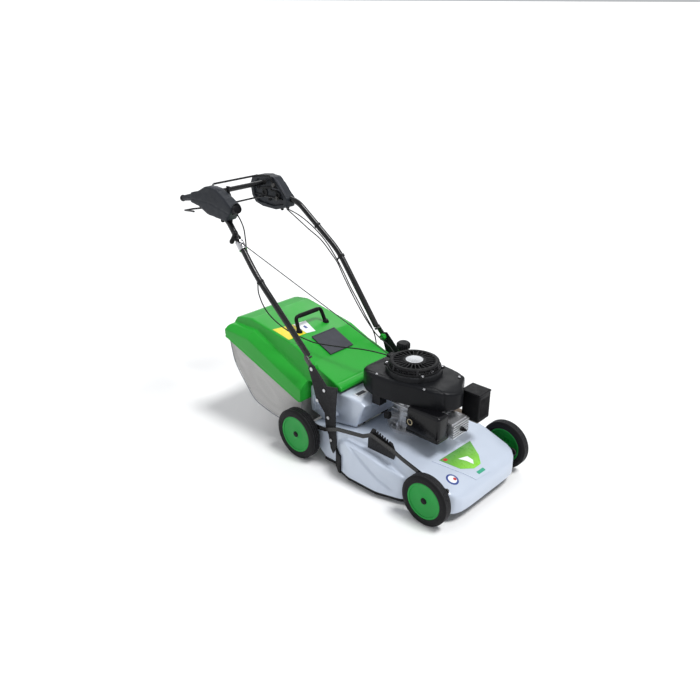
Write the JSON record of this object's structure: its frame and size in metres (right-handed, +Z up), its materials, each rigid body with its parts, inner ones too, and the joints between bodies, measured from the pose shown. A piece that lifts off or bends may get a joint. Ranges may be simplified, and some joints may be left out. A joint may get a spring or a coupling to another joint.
{
  "type": "walk-behind rotary mower with grass box",
  "caption": "Petrol rotary walk-behind mower: silver deck, green wheels and grass box lid, fabric bag, vertical-shaft engine, folding handle with bails and horn grips.",
  "frame": {"origin": "on the ground, under the rear wheels' axle, in the middle plane; also the middle of the footprint of the bounding box", "axes": "+X forward, +Y to the operator's left, +Z up"},
  "size_m": [1.5248, 0.562, 1.038],
  "materials": {
    "deck_paint": "glossy silver-white paint on cast aluminium",
    "black_plastic": "moulded satin black",
    "gloss_black": "glossy moulded black",
    "black_paint": "glossy black powder coat",
    "zinc_steel": "zinc plated steel",
    "forged_steel": "machined steel",
    "cast_engine": "rough die-cast aluminium",
    "iron": "rough cast",
    "hot_steel": "heat-stained steel",
    "white_nylon": "plain nylon",
    "belt_rubber": "ribbed rubber",
    "cord": "braided cord",
    "tyre_rubber": "ribbed rubber",
    "green_plastic": "moulded green, fine grain",
    "bag_fabric": "coated woven polyester",
    "grey_plastic": "dark grey grained"
  },
  "bodies": {
    "chassis": {"deck_shell": "deck_paint", "deck_rim": "black_plastic", "discharge_chute": "deck_paint", "bracket_left": "black_paint", "bracket_right": "black_paint", "deck_bolts": "zinc_steel", "height_comb": "black_paint", "crankcase": "cast_engine", "cylinder": "cast_engine", "spark_plug": "zinc_steel", "carburettor": "cast_engine", "air_cleaner_cover": "gloss_black", "muffler": "hot_steel", "muffler_guard": "black_paint", "fan_shroud": "black_plastic", "recoil_housing": "black_plastic", "fuel_tank": "black_plastic", "drive_belt": "belt_rubber", "control_cables": "belt_rubber", "starter_rope": "cord"},
    "crank": {"crankshaft": "forged_steel", "flywheel": "iron", "blade_adapter": "forged_steel", "blade": "forged_steel", "blade_bolt": "zinc_steel"},
    "recoil_pulley": {"recoil_pulley": "white_nylon"},
    "gearbox_pulley": {"gearbox_pulley": "forged_steel"},
    "rear_axle": {"rear_arms": "black_paint"},
    "gearbox": {"gearbox": "cast_engine"},
    "drive_shaft": {"drive_shaft": "zinc_steel"},
    "front_axle": {"front_axle": "black_paint"},
    "height_link": {"height_link": "black_paint"},
    "wheel_front_left": {"tyre_front_left": "tyre_rubber", "rim_front_left": "green_plastic"},
    "wheel_front_right": {"tyre_front_right": "tyre_rubber", "rim_front_right": "green_plastic"},
    "wheel_rear_left": {"tyre_rear_left": "tyre_rubber", "rim_rear_left": "green_plastic"},
    "wheel_rear_right": {"tyre_rear_right": "tyre_rubber", "rim_rear_right": "green_plastic"},
    "handle": {"handle_tube_left": "black_paint", "handle_tube_right": "black_paint", "handle_crossbar": "black_paint", "control_housing_left": "black_plastic", "control_housing_right": "black_plastic", "rope_guide": "zinc_steel"},
    "knob_left": {"knob_left": "green_plastic"},
    "knob_right": {"knob_right": "green_plastic"},
    "starter_grip": {"starter_grip": "black_plastic"},
    "throttle_lever": {"throttle_lever": "black_plastic"},
    "upper_bail": {"upper_bail": "black_paint"},
    "lower_bail": {"lower_bail": "black_paint"},
    "fuel_cap": {"fuel_cap": "black_plastic"},
    "oil_cap": {"oil_cap": "black_plastic"},
    "grass_box": {"box_lid": "green_plastic", "box_bag": "bag_fabric", "bag_frame": "zinc_steel", "lid_handle": "black_plastic"},
    "level_flap": {"level_flap": "grey_plastic"},
    "rear_flap": {"rear_flap": "green_plastic"}
  },
  "joints": [
    {"name": "front_height", "type": "hinge", "parent": "chassis", "child": "front_axle", "pos_m": [0.718, 0, 0.1], "axis": [0, -1, 0], "range_deg": [0, 50], "deforming": ["drive_belt"]},
    {"name": "rear_height", "type": "hinge", "parent": "chassis", "child": "rear_axle", "pos_m": [0.055, 0, 0.1075], "axis": [0, -1, 0], "range_deg": [0, 50], "deforming": ["drive_belt", "control_cables"]},
    {"name": "link_front_pin", "type": "hinge", "parent": "front_axle", "child": "height_link", "pos_m": [0.728, -0.231, 0.15], "axis": [0, -1, 0], "range_deg": [-50, 0]},
    {"name": "gearbox_float", "type": "hinge", "parent": "rear_axle", "child": "gearbox", "pos_m": [0, 0, 0.1075], "axis": [0, -1, 0], "range_deg": [-50, 0]},
    {"name": "drive_shaft_turn", "type": "hinge", "parent": "rear_axle", "child": "drive_shaft", "pos_m": [0, 0, 0.1075], "axis": [0, 1, 0], "continuous": true},
    {"name": "wheel_rear_left_turn", "type": "hinge", "parent": "rear_axle", "child": "wheel_rear_left", "pos_m": [0, 0.26, 0.1075], "axis": [0, 1, 0], "continuous": true},
    {"name": "wheel_rear_right_turn", "type": "hinge", "parent": "rear_axle", "child": "wheel_rear_right", "pos_m": [0, -0.26, 0.1075], "axis": [0, 1, 0], "continuous": true},
    {"name": "wheel_front_left_turn", "type": "hinge", "parent": "front_axle", "child": "wheel_front_left", "pos_m": [0.663, 0.26, 0.1], "axis": [0, 1, 0], "continuous": true},
    {"name": "wheel_front_right_turn", "type": "hinge", "parent": "front_axle", "child": "wheel_front_right", "pos_m": [0.663, -0.26, 0.1], "axis": [0, 1, 0], "continuous": true},
    {"name": "crankshaft_turn", "type": "hinge", "parent": "chassis", "child": "crank", "pos_m": [0.385, 0, 0.2], "axis": [0, 0, 1], "continuous": true},
    {"name": "gearbox_pulley_turn", "type": "hinge", "parent": "gearbox", "child": "gearbox_pulley", "pos_m": [0.02, 0, 0.078], "axis": [0, 0, 1], "continuous": true},
    {"name": "starter_pull", "type": "slide", "parent": "handle", "child": "starter_grip", "axis": [-0.8034, -0.3028, 0.5126], "range_m": [0, 0.45], "stiffness_N_per_m": 30, "springref_m": -0.3},
    {"name": "recoil_pulley_turn", "type": "hinge", "parent": "chassis", "child": "recoil_pulley", "pos_m": [0.385, 0, 0.45], "axis": [0, 0, 1], "range_deg": [0, 420]},
    {"name": "handle_fold", "type": "hinge", "parent": "chassis", "child": "handle", "pos_m": [0.049, 0, 0.404], "axis": [0, 1, 0], "range_deg": [0, 110], "deforming": ["control_cables", "starter_rope"]},
    {"name": "knob_left_turn", "type": "hinge", "parent": "handle", "child": "knob_left", "pos_m": [0.049, 0.207, 0.404], "axis": [0, 1, 0], "range_deg": [0, 720]},
    {"name": "knob_right_turn", "type": "hinge", "parent": "handle", "child": "knob_right", "pos_m": [0.049, -0.207, 0.404], "axis": [0, 1, 0], "range_deg": [0, 720]},
    {"name": "throttle_turn", "type": "hinge", "parent": "handle", "child": "throttle_lever", "pos_m": [-0.48, -0.166, 1], "axis": [0, 1, 0], "range_deg": [-25, 25]},
    {"name": "upper_bail_squeeze", "type": "hinge", "parent": "handle", "child": "upper_bail", "pos_m": [-0.575, 0, 0.975], "axis": [0, 1, 0], "range_deg": [-12, 0], "stiffness_Nm_per_rad": 4, "springref_deg": 14.32},
    {"name": "lower_bail_squeeze", "type": "hinge", "parent": "handle", "child": "lower_bail", "pos_m": [-0.556, 0, 0.918], "axis": [0, 1, 0], "range_deg": [0, 11], "stiffness_Nm_per_rad": 6, "springref_deg": -20.05},
    {"name": "fuel_cap_lift", "type": "slide", "parent": "chassis", "child": "fuel_cap", "axis": [0, 0, 1], "range_m": [0, 0.06]},
    {"name": "oil_cap_pull", "type": "slide", "parent": "chassis", "child": "oil_cap", "axis": [-0.309, -0.8507, 0.4253], "range_m": [0, 0.05]},
    {"name": "grass_box_pull", "type": "slide", "parent": "chassis", "child": "grass_box", "axis": [-1, 0, 0], "range_m": [0, 0.35]},
    {"name": "level_flap_lift", "type": "hinge", "parent": "grass_box", "child": "level_flap", "pos_m": [-0.107, 0, 0.4452], "axis": [0, 1, 0], "range_deg": [-24, 0]},
    {"name": "rear_flap_drop", "type": "hinge", "parent": "chassis", "child": "rear_flap", "pos_m": [-0.02, 0, 0.306], "axis": [0, 1, 0], "range_deg": [-95, 0]}
  ],
  "couplings": [
    {"joint": "rear_height", "follows": "front_height", "ratio": 1},
    {"joint": "link_front_pin", "follows": "front_height", "ratio": -1},
    {"joint": "gearbox_float", "follows": "front_height", "ratio": -1},
    {"joint": "gearbox_pulley_turn", "follows": "crankshaft_turn", "ratio": 0.73684},
    {"joint": "recoil_pulley_turn", "follows": "starter_pull", "rad_per_m": 15.6}
  ]
}
